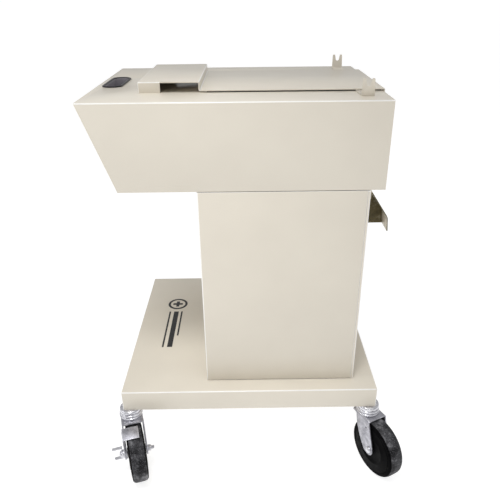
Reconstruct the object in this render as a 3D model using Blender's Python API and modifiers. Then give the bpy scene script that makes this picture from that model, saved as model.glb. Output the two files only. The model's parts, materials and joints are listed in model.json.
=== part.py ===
"""Wheeled sheet-steel equipment pedestal for ward and theatre use.

The front of the cart is -X and its near side is -Y. Z is up and the floor
is z = 0. Dimensions are in metres.
"""
import math

import bmesh
import bpy
from mathutils import Matrix, Vector

# Clearances and sheet gauges
GAP = 0.0003
SHEET = 0.002
THIN = 0.0015
REACH = 0.05

# Centre of the whole footprint, casters included, which is moved to the origin
FOOTPRINT_CENTRE = (0.0118, -0.0377)

# Base pan
BASE_LENGTH = 0.5335
BASE_WIDTH = 0.4780
BASE_BOTTOM = 0.1533
BASE_TOP = 0.1996
BAR_WIDTH = 0.036
BAR_SHEET = 0.003

# Column
COLUMN_FRONT = -0.0898
COLUMN_REAR = 0.2158
COLUMN_WIDTH = 0.408
PANEL_DEPTH = 0.0050

# Console
CONSOLE_WIDTH = 0.408
CONSOLE_FRONT = -0.2844
CONSOLE_FOOT = -0.2297
CONSOLE_REAR = 0.2462
CONSOLE_BOTTOM = 0.6255
DECK = 0.7817

# Equipment plate and its raised bridge
PLATE_HALF_WIDTH = 0.1187
PLATE_SHEET = 0.0018
PLATE_LIFT = 0.0024
PLATE_REAR = 0.2492
LIP_DEPTH = 0.0090
BRIDGE_FRONT = -0.1921
BRIDGE_REAR = -0.0822
BRIDGE_TOP = DECK + 0.0188
SIDE_TAB_REAR = -0.1526

# Forked posts at the rear corners of the plate
FORK_X = 0.2079
FORK_WIDTH = 0.0226
FORK_Y = 0.1672
FORK_TOP = DECK + 0.0296
NOTCH_WIDTH = 0.0090
NOTCH_DEPTH = 0.0122

# Recessed hand grip
GRIP_X = -0.2540
GRIP_LENGTH = 0.0400
GRIP_WIDTH = 0.1175
GRIP_RIM = 0.0045
GRIP_DEPTH = 0.0200
GRIP_CORNER = 0.0185

# Cord hooks behind the column
HOOK_WIDTH = 0.0400
HOOK_TOP = 0.6212
HOOK_KNEE = (0.2559, 0.5721)
HOOK_END = (0.2582, 0.5449)

# Casters: position of the swivel axes, wheel and fork
SWIVEL_X = 0.2545
SWIVEL_Y = 0.2260
TRAIL = 0.0410
WHEEL_SIDES = 40
WHEEL_RADIUS = 0.0635
AXLE_HEIGHT = WHEEL_RADIUS * math.cos(math.pi / WHEEL_SIDES)
TYRE_WIDTH = 0.0335
RIM_RADIUS = 0.0450
AXLE_RADIUS = 0.0040
FORK_HALF = 0.0232
FORK_SHEET = 0.0028
CROWN_TOP = 0.1330
RACE_RADIUS = 0.0245
RACE_TOP = 0.1440
STEM_RADIUS = 0.0050
KING_RADIUS = 0.0075
HEX_FLAT = math.cos(math.pi / 6)
AXLE_STUD = 0.0140

# Side brake: a shoe over the tread, drawn towards the axle by a rocker
BRAKE_ANGLE = math.radians(15.0)
BRAKE_CLEARANCE = 0.0042
SHOE_HALF = 0.0100
SHOE_SHEET = 0.0022
SHOE_END = 0.0090
SHOE_BACK = 0.0160
ARM_SHEET = 0.0025
ARM_HALF = 0.0085
ROCKER_SHEET = 0.0020
CAM_RADIUS = 0.0090
CAM_WIDTH = 0.0030
TAB_HALF = 0.0038
TAB_HIGH = 0.0170
TAB_LOW = -0.0098
ROCKER_HALF = 0.0068
TAB_LENGTH = 0.0205
BRAKE_STACK = ARM_SHEET + CAM_WIDTH + ROCKER_SHEET + 2 * GAP

# Each caster: name, side of the cart in X and Y, heading of its trail, brake
CASTERS = (
    ("front_near", -1, -1, -73.3, True),
    ("front_far", -1, 1, -68.0, True),
    ("rear_near", 1, -1, -62.3, False),
    ("rear_far", 1, 1, -81.0, False),
)

# Finishes: name, base colour, metallic, roughness
FINISHES = {
    "cream_paint": ((0.72, 0.67, 0.57, 1.0), 0.0, 0.40),
    "black_plastic": ((0.012, 0.012, 0.014, 1.0), 0.0, 0.35),
    "zinc": ((0.62, 0.63, 0.65, 1.0), 0.9, 0.35),
    "tyre_rubber": ((0.015, 0.015, 0.016, 1.0), 0.0, 0.7),
    "hub_plastic": ((0.05, 0.05, 0.055, 1.0), 0.0, 0.5),
}


def clear_scene():
    for obj in list(bpy.data.objects):
        bpy.data.objects.remove(obj, do_unlink=True)
    for coll in list(bpy.data.collections):
        bpy.data.collections.remove(coll)


def new_collection(name):
    coll = bpy.data.collections.new(name)
    bpy.context.scene.collection.children.link(coll)
    return coll


clear_scene()
CART = new_collection("equipment_pedestal_cart")
CUTTERS = new_collection("cutters")
CUTTERS.hide_render = True


def finish(name, finish_name):
    colour, metallic, roughness = FINISHES[finish_name]
    mat = bpy.data.materials.new(name)
    mat.use_nodes = True
    bsdf = mat.node_tree.nodes["Principled BSDF"]
    bsdf.inputs["Base Color"].default_value = colour
    bsdf.inputs["Metallic"].default_value = metallic
    bsdf.inputs["Roughness"].default_value = roughness
    mat.diffuse_color = colour
    return mat


def add(name, mesh, finish_name, parent=None):
    """Put a mesh in the cart's collection as one named piece."""
    obj = bpy.data.objects.new(name, mesh)
    CART.objects.link(obj)
    obj.data.materials.clear()
    obj.data.materials.append(finish(name, finish_name))
    if parent is not None:
        obj.parent = parent
    return obj


def cutter(name, mesh, parent=None):
    obj = bpy.data.objects.new(name, mesh)
    CUTTERS.objects.link(obj)
    obj.display_type = "WIRE"
    obj.hide_render = True
    if parent is not None:
        obj.parent = parent
    return obj


def mesh_from(bm, name):
    bmesh.ops.recalc_face_normals(bm, faces=bm.faces)
    mesh = bpy.data.meshes.new(name)
    bm.to_mesh(mesh)
    bm.free()
    return mesh


def block(name, low, high):
    """Mesh of a box between two opposite corners."""
    low = Vector(low)
    high = Vector(high)
    bm = bmesh.new()
    bmesh.ops.create_cube(bm, size=1.0)
    bmesh.ops.scale(bm, vec=high - low, verts=bm.verts)
    bmesh.ops.translate(bm, vec=(high + low) / 2, verts=bm.verts)
    return mesh_from(bm, name)


def rod(name, centre, radius, half_length, axis="Z", sides=20):
    """Mesh of a straight rod about an axis through its centre."""
    bm = bmesh.new()
    bmesh.ops.create_cone(
        bm, cap_ends=True, segments=sides, radius1=radius, radius2=radius, depth=2 * half_length
    )
    if axis == "Y":
        bmesh.ops.rotate(bm, matrix=Matrix.Rotation(math.pi / 2, 3, "X"), verts=bm.verts)
    if axis == "X":
        bmesh.ops.rotate(bm, matrix=Matrix.Rotation(math.pi / 2, 3, "Y"), verts=bm.verts)
    bmesh.ops.translate(bm, vec=centre, verts=bm.verts)
    return mesh_from(bm, name)


def prism(name, outline, low, high):
    """Mesh of an (x, z) outline carried along Y from low to high."""
    bm = bmesh.new()
    near = [bm.verts.new((x, low, z)) for x, z in outline]
    far = [bm.verts.new((x, high, z)) for x, z in outline]
    bm.faces.new(near)
    bm.faces.new(list(reversed(far)))
    count = len(outline)
    for i in range(count):
        j = (i + 1) % count
        bm.faces.new((near[i], far[i], far[j], near[j]))
    return mesh_from(bm, name)


def boolean(obj, tool, operation="DIFFERENCE"):
    mod = obj.modifiers.new(tool.name, "BOOLEAN")
    mod.operation = operation
    mod.solver = "EXACT"
    mod.object = tool


def bevel(obj, width, segments=1, angle=40.0):
    mod = obj.modifiers.new("edge_radius", "BEVEL")
    mod.width = width
    mod.segments = segments
    mod.limit_method = "ANGLE"
    mod.angle_limit = math.radians(angle)


def turned(name, profile, finish_name, parent=None, sides=24, axis="Z", centre=(0, 0, 0), hollow=False):
    """Turned piece: a (radius, height) profile listed from the top downwards."""
    bm = bmesh.new()
    verts = [bm.verts.new((r, 0.0, z)) for r, z in profile]
    for a, b in zip(verts, verts[1:]):
        bm.edges.new((a, b))
    if hollow:
        bm.edges.new((verts[-1], verts[0]))
    mesh = bpy.data.meshes.new(name)
    bm.to_mesh(mesh)
    bm.free()
    obj = add(name, mesh, finish_name, parent)
    screw = obj.modifiers.new("turn", "SCREW")
    screw.axis = "Z"
    screw.steps = sides
    screw.render_steps = sides
    screw.use_merge_vertices = True
    screw.merge_threshold = 0.00001
    obj.location = centre
    if axis == "Y":
        obj.rotation_euler = (math.pi / 2, math.pi / sides, 0)
    return obj


def tray(name, low, high, wall, open_side, finish_name):
    """Folded sheet tray: a box without one face."""
    obj = add(name, block(name, low, high), finish_name)
    inner_low = [v + wall for v in low]
    inner_high = [v - wall for v in high]
    index = "XYZ".index(open_side[1])
    if open_side[0] == "-":
        inner_low[index] = low[index] - REACH
    else:
        inner_high[index] = high[index] + REACH
    tool = cutter(name + "_inside", block(name + "_inside", inner_low, inner_high))
    boolean(obj, tool)
    return obj


def rounded_box(name, low, high, radius, segments=4):
    """Mesh of a box whose four upright edges are rounded."""
    mesh = block(name, low, high)
    bm = bmesh.new()
    bm.from_mesh(mesh)
    upright = [e for e in bm.edges if abs(e.verts[0].co.z - e.verts[1].co.z) > 1e-6]
    bmesh.ops.bevel(bm, geom=upright, offset=radius, segments=segments, profile=0.5, affect="EDGES")
    bpy.data.meshes.remove(mesh)
    return mesh_from(bm, name)


def build_base():
    half_length = BASE_LENGTH / 2
    half_width = BASE_WIDTH / 2
    tray(
        "base_pan",
        (-half_length, -half_width, BASE_BOTTOM),
        (half_length, half_width, BASE_TOP),
        SHEET,
        "-Z",
        "cream_paint",
    )
    outer = half_length - SHEET - GAP
    inner = outer - BAR_WIDTH
    bottom = BASE_BOTTOM - 0.0002
    outline = (
        (outer, bottom),
        (outer, bottom + BAR_SHEET),
        (inner + BAR_SHEET, bottom + BAR_SHEET),
        (inner + BAR_SHEET, BASE_TOP - SHEET - GAP),
        (inner, BASE_TOP - SHEET - GAP),
        (inner, bottom),
    )
    reach = half_width - SHEET - GAP
    for side, place in ((-1, "front"), (1, "rear")):
        name = "caster_bar_" + place
        bar = add(name, prism(name, [(side * x, z) for x, z in outline], -reach, reach), "zinc")
        for row in (-1, 1):
            hole_name = "%s_hole_%d" % (name, row)
            centre = (side * SWIVEL_X, row * SWIVEL_Y, bottom)
            boolean(bar, cutter(hole_name, rod(hole_name, centre, STEM_RADIUS + GAP, 0.01, sides=16)))


def build_column():
    half = COLUMN_WIDTH / 2
    low = (COLUMN_FRONT, -half, BASE_TOP + GAP)
    high = (COLUMN_REAR, half, CONSOLE_BOTTOM - GAP)
    name = "column_wrap"
    column = add(name, block(name, low, high), "cream_paint")
    inside = block(
        name + "_inside",
        (low[0] + SHEET, low[1] + SHEET, low[2] - REACH),
        (high[0] + REACH, high[1] - SHEET, high[2] + REACH),
    )
    boolean(column, cutter(name + "_inside", inside))
    panel_low = (COLUMN_REAR + GAP, -half, BASE_TOP + GAP)
    panel_high = (COLUMN_REAR + GAP + PANEL_DEPTH, half, CONSOLE_BOTTOM - GAP)
    tray("column_rear_panel", panel_low, panel_high, THIN, "-X", "cream_paint")
    for side in (-1, 1):
        for height, place in ((0.240, "low"), (0.510, "high")):
            name = "panel_screw_%s_%s" % (place, "near" if side < 0 else "far")
            face = panel_high[0] + GAP
            centre = (face + 0.0010, side * 0.170, height)
            screw = add(name, rod(name, centre, 0.0045, 0.0010, "X", 16), "zinc")
            bevel(screw, 0.0004)


def slant(depth):
    """X of the console's outer front face at a depth below the deck."""
    share = depth / (DECK - CONSOLE_BOTTOM)
    return CONSOLE_FRONT + (CONSOLE_FOOT - CONSOLE_FRONT) * share


def build_console():
    half = CONSOLE_WIDTH / 2
    height = DECK - CONSOLE_BOTTOM
    name = "console_wrap"
    outline = (
        (CONSOLE_FRONT, DECK),
        (CONSOLE_REAR, DECK),
        (CONSOLE_REAR, CONSOLE_BOTTOM),
        (CONSOLE_FOOT, CONSOLE_BOTTOM),
    )
    wrap = add(name, prism(name, outline, -half, half), "cream_paint")
    inside = block(
        name + "_inside",
        (CONSOLE_FRONT - REACH, -half + SHEET, CONSOLE_BOTTOM - REACH),
        (CONSOLE_REAR + REACH, half - SHEET, DECK - SHEET),
    )
    boolean(wrap, cutter(name + "_inside", inside))
    grip_half = (GRIP_LENGTH / 2 - GRIP_RIM + GAP, GRIP_WIDTH / 2 - GRIP_RIM + GAP)
    window = rounded_box(
        name + "_grip_hole",
        (GRIP_X - grip_half[0], -grip_half[1], DECK - 0.01),
        (GRIP_X + grip_half[0], grip_half[1], DECK + 0.01),
        GRIP_CORNER - 0.0033,
    )
    boolean(wrap, cutter(name + "_grip_hole", window))

    reach = half - SHEET - GAP
    top = SHEET + GAP
    across = SHEET / math.cos(math.atan2(CONSOLE_FOOT - CONSOLE_FRONT, height))
    front = (
        (slant(top), DECK - top),
        (slant(top) + across, DECK - top),
        (slant(height) + across, CONSOLE_BOTTOM),
        (slant(height), CONSOLE_BOTTOM),
    )
    add("console_front_panel", prism("console_front_panel", front, -reach, reach), "cream_paint")
    rear = block(
        "console_rear_panel",
        (CONSOLE_REAR - SHEET, -reach, CONSOLE_BOTTOM),
        (CONSOLE_REAR, reach, DECK - top),
    )
    add("console_rear_panel", rear, "cream_paint")
    floor = (
        (slant(height) + across + GAP, CONSOLE_BOTTOM),
        (CONSOLE_REAR - SHEET - GAP, CONSOLE_BOTTOM),
        (CONSOLE_REAR - SHEET - GAP, CONSOLE_BOTTOM + SHEET),
        (slant(height) + across + GAP, CONSOLE_BOTTOM + SHEET),
    )
    add("console_floor", prism("console_floor", floor, -reach, reach), "cream_paint")


def build_grip():
    """Hand grip: a rounded tub with a rim that rests on the deck."""
    name = "hand_grip"
    half_x = GRIP_LENGTH / 2
    half_y = GRIP_WIDTH / 2
    rim_low = (GRIP_X - half_x, -half_y, DECK + GAP)
    rim_high = (GRIP_X + half_x, half_y, DECK + GAP + 0.0022)
    tub_x = half_x - GRIP_RIM
    tub_y = half_y - GRIP_RIM
    grip = add(name, rounded_box(name, rim_low, rim_high, GRIP_CORNER, 6), "black_plastic")
    tub = rounded_box(
        name + "_tub",
        (GRIP_X - tub_x, -tub_y, DECK - GRIP_DEPTH),
        (GRIP_X + tub_x, tub_y, DECK + 0.0012),
        GRIP_CORNER - 0.0035,
        6,
    )
    boolean(grip, cutter(name + "_tub", tub), "UNION")
    wall = 0.0018
    hollow = rounded_box(
        name + "_hollow",
        (GRIP_X - tub_x + wall, -tub_y + wall, DECK - GRIP_DEPTH + wall),
        (GRIP_X + tub_x - wall, tub_y - wall, DECK + REACH),
        GRIP_CORNER - 0.0055,
        6,
    )
    boolean(grip, cutter(name + "_hollow", hollow))


def build_plate():
    """Equipment plate, folded up into a bridge at the front and down at the rear."""
    name = "equipment_plate"
    under = DECK + PLATE_LIFT
    top = under + PLATE_SHEET
    foot = DECK + GAP
    outline = (
        (BRIDGE_FRONT, BRIDGE_TOP),
        (BRIDGE_REAR, BRIDGE_TOP),
        (BRIDGE_REAR, top),
        (PLATE_REAR, top),
        (PLATE_REAR, top - LIP_DEPTH),
        (PLATE_REAR - PLATE_SHEET, top - LIP_DEPTH),
        (PLATE_REAR - PLATE_SHEET, under),
        (BRIDGE_REAR - PLATE_SHEET, under),
        (BRIDGE_REAR - PLATE_SHEET, BRIDGE_TOP - PLATE_SHEET),
        (BRIDGE_FRONT + PLATE_SHEET, BRIDGE_TOP - PLATE_SHEET),
        (BRIDGE_FRONT + PLATE_SHEET, foot),
        (BRIDGE_FRONT, foot),
    )
    plate = add(name, prism(name, outline, -PLATE_HALF_WIDTH, PLATE_HALF_WIDTH), "cream_paint")
    for side in (-1, 1):
        tab_name = "%s_tab_%s" % (name, "near" if side < 0 else "far")
        outer = side * PLATE_HALF_WIDTH
        inner = side * (PLATE_HALF_WIDTH - PLATE_SHEET)
        tab = block(
            tab_name,
            (BRIDGE_FRONT + PLATE_SHEET / 2, min(outer, inner), foot),
            (SIDE_TAB_REAR, max(outer, inner), BRIDGE_TOP - PLATE_SHEET / 2),
        )
        boolean(plate, cutter(tab_name, tab), "UNION")


def build_forks():
    """Angle brackets under the plate, each ending in an upright U-notched fork."""
    for side, place in ((-1, "near"), (1, "far")):
        name = "fork_bracket_" + place
        low = DECK + GAP
        inner = PLATE_HALF_WIDTH - 0.020
        outline = (
            (side * inner, low),
            (side * (FORK_Y + THIN), low),
            (side * (FORK_Y + THIN), FORK_TOP),
            (side * FORK_Y, FORK_TOP),
            (side * FORK_Y, low + THIN),
            (side * inner, low + THIN),
        )
        mesh = prism(name, outline, -FORK_WIDTH / 2, FORK_WIDTH / 2)
        mesh.transform(Matrix.Rotation(math.pi / 2, 4, "Z"))
        mesh.transform(Matrix.Translation((FORK_X, 0, 0)))
        bracket = add(name, mesh, "cream_paint")
        tip = FORK_TOP - NOTCH_DEPTH
        half = NOTCH_WIDTH / 2
        slot_low = (FORK_X - half, side * FORK_Y - 0.01, tip)
        slot_high = (FORK_X + half, side * FORK_Y + 0.01, FORK_TOP + 0.01)
        slot = block(name + "_slot", slot_low, slot_high)
        boolean(bracket, cutter(name + "_slot", slot))
        for sign in (-1, 1):
            label = "%s_lead_%d" % (name, sign)
            lead = prism(
                label,
                (
                    (FORK_X + sign * (half - 0.001), FORK_TOP - 0.0038),
                    (FORK_X + sign * (half + 0.003), FORK_TOP + 0.0010),
                    (FORK_X + sign * (half - 0.001), FORK_TOP + 0.0010),
                ),
                side * FORK_Y - 0.01,
                side * FORK_Y + 0.01,
            )
            boolean(bracket, cutter(label, lead))


def build_hooks():
    """Cord hooks: a slanting arm with a turned-down end and one side wall."""
    face = COLUMN_REAR + 2 * GAP + PANEL_DEPTH
    outer = COLUMN_WIDTH / 2
    inner = outer - HOOK_WIDTH
    knee_x, knee_z = HOOK_KNEE
    end_x, end_z = HOOK_END
    arm = (
        (face, HOOK_TOP),
        (face + 0.0020, HOOK_TOP),
        (knee_x, knee_z),
        (end_x, end_z),
        (end_x - SHEET, end_z),
        (knee_x - SHEET, knee_z),
        (face + SHEET, HOOK_TOP - 0.0040),
        (face + SHEET, end_z),
        (face, end_z),
    )
    wall = (
        (face + 0.0005, HOOK_TOP - 0.0010),
        (face + 0.0015, HOOK_TOP - 0.0010),
        (knee_x - 0.0010, knee_z),
        (end_x - 0.0010, end_z),
        (face + 0.0005, end_z),
    )
    for side, place in ((-1, "near"), (1, "far")):
        name = "cord_hook_" + place
        low = min(side * outer, side * inner)
        high = max(side * outer, side * inner)
        hook = add(name, prism(name, arm, low, high), "cream_paint")
        edge = side * inner
        rib = prism(name + "_wall", wall, min(edge, edge + side * SHEET), max(edge, edge + side * SHEET))
        boolean(hook, cutter(name + "_wall", rib), "UNION")


def caster_frame(name, side_x, side_y, heading):
    """Empty on the swivel axis, with its +X along the caster's trail."""
    empty = bpy.data.objects.new("caster_%s_axis" % name, None)
    empty.location = (side_x * SWIVEL_X, side_y * SWIVEL_Y, 0)
    empty.rotation_euler = (0, 0, math.radians(heading))
    CART.objects.link(empty)
    return empty


def leg_outline():
    """Side view of the fork, wide at the crown and narrow at the axle."""
    return (
        (-0.0200, CROWN_TOP),
        (0.0315, CROWN_TOP),
        (0.0350, CROWN_TOP - 0.0140),
        (0.0430, 0.0950),
        (TRAIL + 0.0100, AXLE_HEIGHT + 0.0010),
        (TRAIL + 0.0090, AXLE_HEIGHT - 0.0075),
        (TRAIL + 0.0040, AXLE_HEIGHT - 0.0125),
        (TRAIL - 0.0040, AXLE_HEIGHT - 0.0145),
        (TRAIL - 0.0120, AXLE_HEIGHT - 0.0130),
        (TRAIL - 0.0185, AXLE_HEIGHT - 0.0080),
        (0.0100, 0.0745),
        (-0.0040, 0.1040),
        (-0.0085, CROWN_TOP - 0.0050),
        (-0.0200, CROWN_TOP - 0.0040),
    )


def build_caster(name, side_x, side_y, heading, braked):
    frame = caster_frame(name, side_x, side_y, heading)
    seat = BASE_BOTTOM - 0.0002 - GAP
    turned(
        "stem_" + name,
        (
            (0.0, BASE_BOTTOM + 0.0230),
            (STEM_RADIUS - 0.0010, BASE_BOTTOM + 0.0230),
            (STEM_RADIUS, BASE_BOTTOM + 0.0220),
            (STEM_RADIUS, seat),
            (RACE_RADIUS - 0.0035, seat),
            (RACE_RADIUS - 0.0020, seat - 0.0040),
            (RACE_RADIUS - 0.0020, RACE_TOP + GAP),
            (KING_RADIUS, RACE_TOP + GAP),
            (KING_RADIUS, CROWN_TOP - FORK_SHEET - GAP),
            (0.0105, CROWN_TOP - FORK_SHEET - GAP),
            (0.0095, CROWN_TOP - FORK_SHEET - 0.0050),
            (0.0, CROWN_TOP - FORK_SHEET - 0.0050),
        ),
        "zinc",
        frame,
        sides=20,
    )
    nut_low = BASE_BOTTOM - 0.0002 + BAR_SHEET + GAP
    turned(
        "stem_nut_" + name,
        (
            (0.0090, nut_low + 0.0080),
            (0.0098, nut_low + 0.0072),
            (0.0098, nut_low),
            ((STEM_RADIUS + GAP) / HEX_FLAT, nut_low),
            ((STEM_RADIUS + GAP) / HEX_FLAT, nut_low + 0.0080),
        ),
        "zinc",
        frame,
        sides=6,
        hollow=True,
    )
    turned(
        "raceway_" + name,
        (
            (RACE_RADIUS - 0.0030, RACE_TOP),
            (RACE_RADIUS, RACE_TOP - 0.0030),
            (RACE_RADIUS, RACE_TOP - 0.0070),
            (RACE_RADIUS - 0.0020, CROWN_TOP + GAP),
            (KING_RADIUS + GAP, CROWN_TOP + GAP),
            (KING_RADIUS + GAP, RACE_TOP),
        ),
        "zinc",
        frame,
        sides=24,
        hollow=True,
    )

    label = "yoke_" + name
    yoke = add(label, prism(label, leg_outline(), -FORK_HALF, FORK_HALF), "zinc", frame)
    throat = block(
        label + "_throat",
        (-REACH, -FORK_HALF + FORK_SHEET, -REACH),
        (2 * REACH, FORK_HALF - FORK_SHEET, CROWN_TOP - FORK_SHEET),
    )
    boolean(yoke, cutter(label + "_throat", throat, frame))
    king = rod(label + "_king", (0, 0, CROWN_TOP), KING_RADIUS + GAP, 0.01, sides=20)
    boolean(yoke, cutter(label + "_king", king, frame))
    axle_hole = rod(label + "_axle", (TRAIL, 0, AXLE_HEIGHT), AXLE_RADIUS + GAP, REACH, "Y", 16)
    boolean(yoke, cutter(label + "_axle", axle_hole, frame))

    axle = (TRAIL, 0, AXLE_HEIGHT)
    half = TYRE_WIDTH / 2
    turned(
        "tyre_" + name,
        (
            (WHEEL_RADIUS - 0.0060, half),
            (WHEEL_RADIUS - 0.0015, half - 0.0025),
            (WHEEL_RADIUS, half - 0.0070),
            (WHEEL_RADIUS, -half + 0.0070),
            (WHEEL_RADIUS - 0.0015, -half + 0.0025),
            (WHEEL_RADIUS - 0.0060, -half),
            (RIM_RADIUS + GAP, -half + 0.0010),
            (RIM_RADIUS + GAP, half - 0.0010),
        ),
        "tyre_rubber",
        frame,
        sides=WHEEL_SIDES,
        axis="Y",
        centre=axle,
        hollow=True,
    )
    bore = AXLE_RADIUS + GAP
    turned(
        "hub_" + name,
        (
            (bore, half + 0.0015),
            (0.0120, half + 0.0015),
            (0.0135, 0.0060),
            (RIM_RADIUS - 0.0060, 0.0050),
            (RIM_RADIUS - 0.0030, half - 0.0020),
            (RIM_RADIUS, half - 0.0020),
            (RIM_RADIUS, -half + 0.0020),
            (RIM_RADIUS - 0.0030, -half + 0.0020),
            (RIM_RADIUS - 0.0060, -0.0050),
            (0.0135, -0.0060),
            (0.0120, -half - 0.0015),
            (bore, -half - 0.0015),
        ),
        "hub_plastic",
        frame,
        sides=28,
        axis="Y",
        centre=axle,
        hollow=True,
    )
    outside = FORK_HALF + GAP
    head = outside + (BRAKE_STACK if braked else 0.0)
    turned(
        "axle_bolt_" + name,
        (
            (0.0, head + 0.0050),
            (0.0062, head + 0.0050),
            (0.0072, head + 0.0040),
            (0.0072, head),
            (AXLE_RADIUS, head),
            (AXLE_RADIUS, -outside - AXLE_STUD + 0.0010),
            (AXLE_RADIUS - 0.0010, -outside - AXLE_STUD),
            (0.0, -outside - AXLE_STUD),
        ),
        "zinc",
        frame,
        sides=12,
        axis="Y",
        centre=axle,
    )
    hex_bore = (AXLE_RADIUS + GAP) / HEX_FLAT
    turned(
        "axle_nut_" + name,
        (
            (0.0072, -outside),
            (0.0072, -outside - 0.0065),
            (0.0062, -outside - 0.0075),
            (hex_bore, -outside - 0.0075),
            (hex_bore, -outside),
        ),
        "zinc",
        frame,
        sides=6,
        axis="Y",
        centre=axle,
        hollow=True,
    )
    if braked:
        build_brake(name, frame)


def beside_tyre(along, radius):
    """(x, z) of a point at a distance from the axle, and along the shoe's tangent."""
    sin_a = math.sin(BRAKE_ANGLE)
    cos_a = math.cos(BRAKE_ANGLE)
    x = TRAIL + radius * sin_a + along * cos_a
    z = AXLE_HEIGHT + radius * cos_a - along * sin_a
    return (x, z)


def both_sides(outline):
    """Points down one side of an outline, then their mirror images up the other."""
    return [beside_tyre(a, r) for a, r in outline] + [beside_tyre(-a, r) for a, r in reversed(outline)]


def build_brake(name, frame):
    """Brake: the shoe hangs on a slotted arm, and a rocker on the axle moves it."""
    arm_inner = -FORK_HALF - GAP
    arm_outer = arm_inner - ARM_SHEET
    shoe_low = WHEEL_RADIUS + BRAKE_CLEARANCE
    shoe_high = shoe_low + SHOE_SHEET
    label = "brake_shoe_" + name
    arm_outline = (
        (SHOE_HALF, shoe_low + SHOE_SHEET / 2),
        (SHOE_HALF, 0.0580),
        (ARM_HALF, 0.0200),
        (ARM_HALF, -0.0080),
        (0.0050, -0.0130),
        (0.0050, -0.0195),
        (0.0030, -0.0220),
    )
    shoe = add(label, prism(label, both_sides(arm_outline), arm_outer, arm_inner), "zinc", frame)
    front = SHOE_HALF + 0.0010
    corners = ((front, shoe_high), (front, shoe_low), (-SHOE_BACK, shoe_low), (-SHOE_BACK, shoe_high))
    plate_outline = [beside_tyre(along, radius) for along, radius in corners]
    plate = prism(label + "_plate", plate_outline, arm_outer + ARM_SHEET / 2, SHOE_END)
    boolean(shoe, cutter(label + "_plate", plate, frame), "UNION")
    reach = AXLE_RADIUS + GAP + 0.0001
    slot_outline = ((0.0020, reach + 0.0042), (reach, reach + 0.0022), (reach, -0.0020), (0.0020, -reach))
    slot = prism(label + "_slot", both_sides(slot_outline), arm_outer - 0.01, arm_inner + 0.01)
    boolean(shoe, cutter(label + "_slot", slot, frame))
    eye_x, eye_z = beside_tyre(0.0, -0.0175)
    eye = rod(label + "_eye", (eye_x, arm_outer, eye_z), 0.0024, 0.01, "Y", 12)
    boolean(shoe, cutter(label + "_eye", eye, frame))

    label = "brake_rocker_" + name
    axle = Vector((TRAIL, 0, AXLE_HEIGHT))
    cam_inner = arm_outer - GAP
    plate_inner = cam_inner - CAM_WIDTH
    plate_outer = plate_inner - ROCKER_SHEET
    rocker_mesh = block(
        label,
        axle + Vector((-ROCKER_HALF, plate_outer, TAB_LOW)),
        axle + Vector((ROCKER_HALF, plate_inner, TAB_HIGH + 0.0020)),
    )
    rocker = add(label, rocker_mesh, "zinc", frame)
    cam_centre = (TRAIL, cam_inner - CAM_WIDTH / 2 - 0.0003, AXLE_HEIGHT)
    cam = rod(label + "_cam", cam_centre, CAM_RADIUS, CAM_WIDTH / 2 + 0.0003, "Y", 20)
    boolean(rocker, cutter(label + "_cam", cam, frame), "UNION")
    for level, reach_out, place in ((TAB_HIGH, TAB_LENGTH, "upper"), (TAB_LOW, TAB_LENGTH - 0.0030, "lower")):
        tab = block(
            label + "_tab_" + place,
            axle + Vector((-TAB_HALF + 0.0002, plate_inner - reach_out, level + 0.0001)),
            axle + Vector((TAB_HALF - 0.0002, plate_inner - 0.0004, level + 0.0018)),
        )
        boolean(rocker, cutter(label + "_tab_" + place, tab, frame), "UNION")
    bore = rod(label + "_bore", (TRAIL, plate_outer, AXLE_HEIGHT), AXLE_RADIUS + GAP + 0.0001, 0.01, "Y", 16)
    boolean(rocker, cutter(label + "_bore", bore, frame))


build_base()
build_column()
build_console()
build_grip()
build_plate()
build_forks()
build_hooks()
for caster in CASTERS:
    build_caster(*caster)
for piece in list(CART.objects) + list(CUTTERS.objects):
    if piece.parent is None:
        piece.location.x -= FOOTPRINT_CENTRE[0]
        piece.location.y -= FOOTPRINT_CENTRE[1]
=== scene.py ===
"""Looks of the equipment pedestal cart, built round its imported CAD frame.

Metres. -X is the front of the cart, -Y its near side, +Z up.
"""
import json
import math

import bmesh
import bpy
from mathutils import Matrix, Vector


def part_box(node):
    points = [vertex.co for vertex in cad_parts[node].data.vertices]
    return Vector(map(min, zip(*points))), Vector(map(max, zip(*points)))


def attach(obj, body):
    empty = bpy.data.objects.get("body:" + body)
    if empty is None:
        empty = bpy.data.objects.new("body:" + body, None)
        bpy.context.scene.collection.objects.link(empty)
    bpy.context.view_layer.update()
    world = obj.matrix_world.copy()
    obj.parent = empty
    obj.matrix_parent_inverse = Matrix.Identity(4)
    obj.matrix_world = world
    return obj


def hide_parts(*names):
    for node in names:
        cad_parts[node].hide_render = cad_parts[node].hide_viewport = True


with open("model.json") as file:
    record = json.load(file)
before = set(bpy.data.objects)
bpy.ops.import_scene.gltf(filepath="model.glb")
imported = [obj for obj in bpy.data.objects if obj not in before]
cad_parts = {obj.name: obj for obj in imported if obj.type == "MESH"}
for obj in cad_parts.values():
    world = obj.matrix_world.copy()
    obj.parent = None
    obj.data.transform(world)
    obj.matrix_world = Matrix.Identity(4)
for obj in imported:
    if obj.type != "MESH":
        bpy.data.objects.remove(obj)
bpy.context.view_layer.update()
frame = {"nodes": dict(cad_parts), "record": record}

NODES = frame["nodes"]
JOINTS = {j["name"]: j for j in frame["record"]["behaviour"]["joints"]}
CASTERS = ("front_near", "front_far", "rear_near", "rear_far")

# Material slots of every piece
FACE, EDGE = 0, 1

# Least angle in degrees between two faces that counts as an edge to break
BREAK_ANGLE = 35.0

# Sheet metal: gauges and fold radii
SHEET = 0.002
FOLD = 0.0019
COLUMN_FOLD = 0.0022
REAR_COVER_SHEET = 0.0015
REAR_COVER_FOLD = 0.0018
CONSOLE_FOOT_OVERHANG = 0.0024

# Seams: how far a folded sheet stops short of its neighbour
FOOT_SEAM = 0.0010
HEAD_SEAM = 0.0009

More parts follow.
